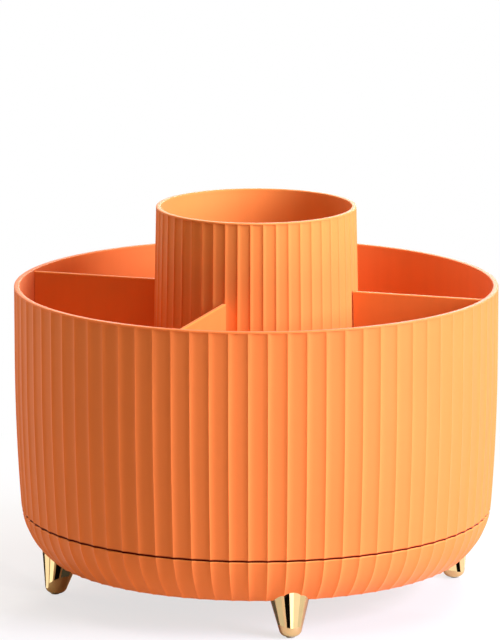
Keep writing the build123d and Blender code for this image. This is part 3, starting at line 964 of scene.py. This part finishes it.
@dataclass
class Foot:
    """Oblique cone with a rounded tip, which runs a little way into the bowl."""

    form: OuterForm
    maker: Maker
    tip_radius: float = 3.85
    top_radius: float = 7.7
    tip_centre: float = 82.22
    top_centre: float = 79.42
    tip_round: float = 3.0
    stand: float = 0.4
    sunk: float = 0.8
    sink_step: float = 0.05
    segments: int = 72
    levels: int = 22
    tip_steps: int = 10

    def cone(self, height: float) -> tuple[float, float]:
        """Place and width of the cone at a height.

        Args:
            height: Height above the ground.

        Returns:
            Distance of the cone's middle from the axis, and the cone's own radius.
        """
        share = (height - self.stand) / (self.form.underside - self.stand)
        widening, drift = self.top_radius - self.tip_radius, self.top_centre - self.tip_centre
        return self.tip_centre + drift * share, self.tip_radius + widening * share

    def point(self, height: float, angle: float, pared: float = 0.0) -> tuple[float, float, float]:
        """Point of the foot at the front, at an angle round it, with a little pared off its radius."""
        centre, own = self.cone(height)
        return (own - pared) * sin(angle), -centre - (own - pared) * cos(angle), height

    def end(self, angle: float) -> float:
        """Height at which the cone is well inside the bowl.

        Args:
            angle: Angle round the foot.

        Returns:
            The height.
        """
        height = self.form.underside + self.sunk
        while height < self.form.turn:
            reach = hypot(*self.point(height, angle)[:2])
            if reach < self.form.radius(height) - self.form.flute_depth - self.sunk:
                break
            height += self.sink_step
        return height

    def rib(self, angle: float) -> list[tuple]:
        """Points of the foot from its tip up, at one angle round it.

        Args:
            angle: Angle round the foot.

        Returns:
            The points.
        """
        drift = (self.top_centre - self.tip_centre) * cos(angle)
        lean = atan((self.top_radius - self.tip_radius + drift) / (self.form.underside - self.stand))
        reach = self.tip_round / tan(pi / 4 + lean / 2)
        points = []
        for step in range(self.tip_steps + 1):
            swing = (pi / 2 - lean) * step / self.tip_steps
            lift = self.tip_round * (1 - cos(swing))
            pared = reach + lift * tan(lean) - self.tip_round * sin(swing)
            points.append(self.point(self.stand + lift, angle, pared))
        start, end = points[-1][2], self.end(angle)
        heights = [start + (end - start) * step / self.levels for step in range(1, self.levels + 1)]
        return points + [self.point(height, angle) for height in heights]

    def build(self, name: str, bearing: float) -> Piece:
        """Makes one foot.

        Args:
            name: Name of the piece.
            bearing: Bearing of the foot.

        Returns:
            The foot.
        """
        ribs = [self.rib(FULL_TURN * step / self.segments) for step in range(self.segments)]
        piece = self.maker.stacked(name, list(zip(*ribs)))
        for polygon in piece.data.polygons:
            polygon.use_smooth = len(polygon.vertices) == 4
        return self.maker.repeated(piece, bearing, Finish.GOLD, 1)


@dataclass
class Base:
    """Standing part: fluted bowl, and feet with pads."""

    form: OuterForm
    maker: Maker
    foot: Foot
    floor_top: float = 17.2
    ledge: tuple = ((83.7, 17.2), (84.9, 20.4), (84.9, 23.6), (88.4, 23.6), (88.4, 26.3), (90.5, 28.4))
    upstand: tuple = (90.5, 92.0, 34.1)
    upstand_round: float = 0.3
    access_radius: float = 9.0
    recess_radius: float = 11.1
    recess_depth: float = 1.2
    recess_round: float = 0.2
    bottom_round: float = 0.7
    edge_round: float = 0.34
    groove_depth: float = 0.95
    groove_mouth: float = 1.6
    groove_flute: float = 0.8
    bowl_steps: int = 14
    first_foot: float = 9.4
    pad_radius: float = 1.8
    pad_thickness: float = 1.4
    pad_bevel: float = 0.15
    pad_segments: int = 24

    def bowl_line(self) -> list[Corner]:
        """Closed half section of the bowl, with a groove behind the seam.

        Returns:
            Points of the closed line.
        """
        form = self.form
        inner, outer, top = self.upstand
        edge, bottom = form.radius(form.seam_bottom), form.radius(form.underside)
        mouth = self.groove_mouth * self.edge_round
        fall = self.groove_depth * mouth / (edge - outer)
        recess_top = form.underside + self.recess_depth
        corners = [
            Corner(self.access_radius, self.floor_top, self.recess_round),
            *(Corner(r, z) for r, z in self.ledge),
            # Painted shade on the upstand and the groove faces behind the seam.
            Corner(inner, top, self.upstand_round, look=-1.0),
            Corner(outer, top, self.upstand_round, look=-1.0),
            Corner(outer, form.seam_bottom - self.groove_depth, look=-1.0),
            Corner(edge - mouth, form.seam_bottom - fall, 0.0, self.groove_flute, -1.0),
            # Painted highlight on the bowl's rounded edge just below the seam.
            form.corner(form.seam_bottom, round=self.edge_round, look=1.0),
            form.corner(form.seam_bottom - 2 * self.edge_round),
            *form.stretch(form.seam_bottom, form.underside, self.bowl_steps),
            form.corner(form.underside, round=self.bottom_round),
            Corner(bottom - 4 * self.bottom_round, form.underside),
            Corner(self.recess_radius, form.underside, self.recess_round),
            Corner(self.recess_radius, recess_top),
            Corner(self.access_radius, recess_top),
        ]
        return rounded_line(corners, True)

    def pads(self) -> Piece:
        """Soft pads in the feet's tips.

        Returns:
            The pads.
        """
        radius, bevel = self.pad_radius, self.pad_bevel
        levels = [(radius - bevel, 0.0), (radius, bevel), (radius, self.pad_thickness)]
        item = self.maker.stacked("soft_pads", round_rings(levels, self.foot.tip_centre, self.pad_segments))
        return self.maker.repeated(item, self.first_foot, Finish.SILICONE)

    def build(self) -> None:
        """Makes the base's pieces and dresses what is kept."""
        bowl = self.maker.shell("bowl_shell", self.bowl_line(), self.form.fluting(), Finish.ORANGE)
        settle(bowl, "base", Finish.ORANGE, "base_bowl")
        for step, quarter in enumerate(QUARTERS):
            foot = self.foot.build(quarter + "_foot_plated", self.first_foot + QUARTER_TURN * step)
            settle(foot, "base", Finish.GOLD, quarter + "_foot")
        settle(self.pads(), "base", Finish.SILICONE, "foot_pads")
        dress(Finish.INNER, "base_deck", "pivot_cap")


@dataclass
class Bearing:
    """Ball bearing, pivot and screws, all inside and kept as they are."""

    plastics: tuple = ("lower_race", "upper_race", "ball_cage", "pivot_bush")
    balls: str = "bearing_balls"
    steels: tuple = ("pivot_screw", "pivot_washer", "foot_screws", "deck_screws", "cup_screws")
    nut: str = "pivot_nut"

    def build(self) -> None:
        """Dresses the hidden pieces."""
        dress(Finish.ACETAL, *self.plastics)
        dress(Finish.BALLS, self.balls)
        dress(Finish.ZINC, *self.steels)
        dress(Finish.BRASS, self.nut)


@dataclass
class Lamp:
    """Soft square lamp that looks at the organizer, with its place and size in metres."""

    name: str
    bearing: float
    height_angle: float
    distance: float
    size: float
    power: float
    colour: tuple = (1.0, 1.0, 1.0)

    def build(self, target: tuple) -> None:
        """Makes the lamp.

        Args:
            target: Point that it looks at, in metres.
        """
        light = bpy.data.lights.new(self.name, "AREA")
        light.shape = "SQUARE"
        light.size = self.size
        light.energy = self.power
        light.color = self.colour
        lamp = placed(self.name, light)
        rise = radians(self.height_angle)
        way = (*spot(cos(rise), self.bearing), sin(rise))
        lamp.location = tuple(t + w * self.distance for t, w in zip(target, way))
        lamp.rotation_euler = (pi / 2 - rise, 0.0, radians(self.bearing))


@dataclass
class Card:
    """Wedge on the floor beside a foot: which quarter, direction, spread, brightness, and where it starts."""

    quarter: int
    bearing: float
    spread: float
    level: float
    near: float = 14.0


@dataclass
class GlossCards:
    """Dark and bright wedges beside the feet that only gloss sees, so that the plating shows its form."""

    base: Base
    far: float = 60.0
    rest: float = 0.3
    cards: tuple = (
        Card(0, -14.0, 30.0, 0.003),
        Card(0, 12.0, 22.0, 2.5),
        Card(0, 42.5, 39.0, 1.25),
        Card(0, 82.0, 40.0, 0.95),
        Card(0, -69.0, 44.0, 0.8),
        Card(0, -115.0, 36.0, 0.12),
        Card(3, -52.0, 30.0, 1.5),
        Card(3, -6.0, 34.0, 0.003),
        Card(3, 52.0, 60.0, 0.06),
        Card(1, 41.0, 34.0, 0.003, 8.0),
        Card(1, -8.0, 64.0, 1.2, 8.0),
        Card(1, 84.0, 40.0, 1.3, 8.0),
    )
    arc_steps: int = 8
    green: float = 0.97
    blue: float = 0.92

    def build(self) -> None:
        """Makes the cards, and the same again half a turn round the organizer."""
        vertices: list = []
        faces: list = []
        levels: list = []
        for card, half_turn in product(self.cards, (0, 180)):
            foot_bearing = self.base.first_foot + QUARTER_TURN * card.quarter + half_turn
            foot = spot(self.base.foot.tip_centre, foot_bearing)
            for step in range(self.arc_steps + 1):
                if step > 0:
                    after = len(vertices)
                    faces.append([after - 2, after - 1, after + 1, after])
                    levels.append(card.level)
                swing = card.bearing + half_turn + card.spread * (step / self.arc_steps - 0.5)
                ways = [spot(reach, swing) for reach in (card.near, self.far)]
                vertices += [(foot[0] + x, foot[1] + y, self.rest) for x, y in ways]
        cards = self.base.maker.piece("gloss_cards", vertices, faces)
        cards.data.attributes.new("level", "FLOAT", "FACE").data.foreach_set("value", levels)
        surface = Surface("gloss_card")
        level = surface.attribute("level")
        tint = {"Red": level, "Green": level * self.green, "Blue": level * self.blue}
        glow = surface.node("ShaderNodeCombineColor", tint).outputs["Color"]
        black = (0, 0, 0, 1)
        surface.finish(base_color=black, emission_color=glow, emission_strength=1.0, specular_ior_level=0.0)
        cards.data.materials.append(surface.material)
        for kind in ("camera", "diffuse", "transmission", "shadow"):
            setattr(cards, "visible_" + kind, False)


@dataclass
class Studio:
    """Pale floor, soft lamps, white surroundings and the camera of the photograph's view.

    Lengths are metres, but the floor's mottle and the camera's sensor are millimetres, and the camera's
    focal length, its picture's height and the shift of its centre are pixels of the photograph.
    """

    target: tuple = (0.0, 0.0, 0.07)
    lamps: tuple = (
        Lamp("key_right", 62.0, 23.0, 1.1, 0.6, 26.6, (0.76, 0.76, 1.0)),
        Lamp("top_soft", 20.0, 76.0, 1.2, 0.7, 7.6, (1.0, 0.9, 0.8)),
        Lamp("rim_left", -122.0, 12.0, 1.2, 0.6, 4.4, (1.0, 0.8, 0.66)),
        Lamp("back_soft", 168.0, 22.0, 1.3, 0.7, 11.0),
    )
    white: tuple = (1.0, 1.0, 1.0, 1.0)
    world_light: float = 0.13
    world_tint: tuple = (1.0, 0.8, 0.66, 1.0)
    floor_half: float = 6.0
    floor_paints: tuple = ((0.74, 0.74, 0.74, 1), (0.78, 0.78, 0.78, 1))
    floor_mottle: float = 60.0
    floor_roughness: float = 0.7
    floor_bounce: tuple = (0.72, 0.64, 0.48, 1.0)
    floor_mirrored: tuple = (0.66, 0.65, 0.54, 1.0)
    glow: float = 0.7
    white_from: float = 0.10
    white_at: float = 0.30
    camera_distance: float = 2.0151
    camera_height: float = 0.5199
    camera_down: float = 11.5
    camera_reach: float = 50.0
    focal_pixels: float = 5116.0
    picture_height: float = 640.0
    centre_shift: float = 6.26
    sensor: float = 36.0

    def floor(self) -> None:
        """Pale floor that keeps the organizer's shadow and turns white farther out.

        Soft light and gloss get paints of their own from it, as from the photograph's surroundings.
        """
        half = self.floor_half
        mesh = bpy.data.meshes.new("floor")
        corners = [(-half, -half, 0), (half, -half, 0), (half, half, 0), (-half, half, 0)]
        mesh.from_pydata(corners, [], [(0, 1, 2, 3)])
        surface = Surface("floor_paint")
        seen = surface.looked_at()
        paint = surface.blend(surface.noise(self.floor_mottle, detail=3.0), *self.floor_paints)
        tone = surface.blend(seen, self.floor_bounce, paint)
        tone = surface.blend(surface.ray("Glossy"), tone, self.floor_mirrored)
        surface.finish(base_color=tone, roughness=self.floor_roughness)
        span = surface.value("ShaderNodeVectorMath", "Value", {0: surface.place}, operation="LENGTH")
        far = span.ramp(self.white_from, self.white_at)
        share = far * seen + (1 - far) * surface.ray("Camera") * self.glow
        white = surface.node("ShaderNodeEmission", {"Color": self.white, "Strength": 1.0})
        feeds = {0: share, 1: surface.shader.outputs["BSDF"], 2: white.outputs["Emission"]}
        faded = surface.node("ShaderNodeMixShader", feeds)
        surface.feed(surface.tree.nodes["Material Output"].inputs["Surface"], faded.outputs["Shader"])
        mesh.materials.append(surface.material)
        floor = placed("floor", mesh)

    def surroundings(self) -> None:
        """White to camera, gloss and glass, and a plain soft light to everything else."""
        world = bpy.data.worlds.new("studio")
        bpy.context.scene.world = world
        world.use_nodes = True
        graph = Graph(world.node_tree)
        seen = graph.looked_at()
        sky = world.node_tree.nodes["Background"]
        graph.feed(sky.inputs["Color"], graph.blend(seen, self.world_tint, self.white))
        graph.feed(sky.inputs["Strength"], seen * (1 - self.world_light) + self.world_light)

    def camera(self) -> None:
        """Camera of the photograph's view."""
        lens = bpy.data.cameras.new("view")
        lens.sensor_width = self.sensor
        lens.sensor_fit = "AUTO"
        lens.lens = self.focal_pixels / self.picture_height * self.sensor
        lens.shift_x = -self.centre_shift / self.picture_height
        lens.clip_end = self.camera_reach
        camera = placed("view", lens)
        camera.location = (0.0, -self.camera_distance, self.camera_height)
        camera.rotation_euler = (radians(90 - self.camera_down), 0.0, 0.0)
        bpy.context.scene.camera = camera

    def build(self) -> None:
        """Sets the studio up."""
        self.floor()
        self.surroundings()
        for lamp in self.lamps:
            lamp.build(self.target)
        self.camera()
        bpy.context.scene.view_settings.view_transform = "Standard"


def main() -> None:
    """Builds the organizer and its studio."""
    logging.basicConfig(level=logging.INFO, format="%(message)s")
    maker = Maker()
    form = OuterForm()
    base = Base(form, maker, Foot(form, maker))
    Tub(form, maker).build()
    base.build()
    Bearing().build()
    GlossCards(base).build()
    Studio().build()


if __name__ == "__main__":
    main()
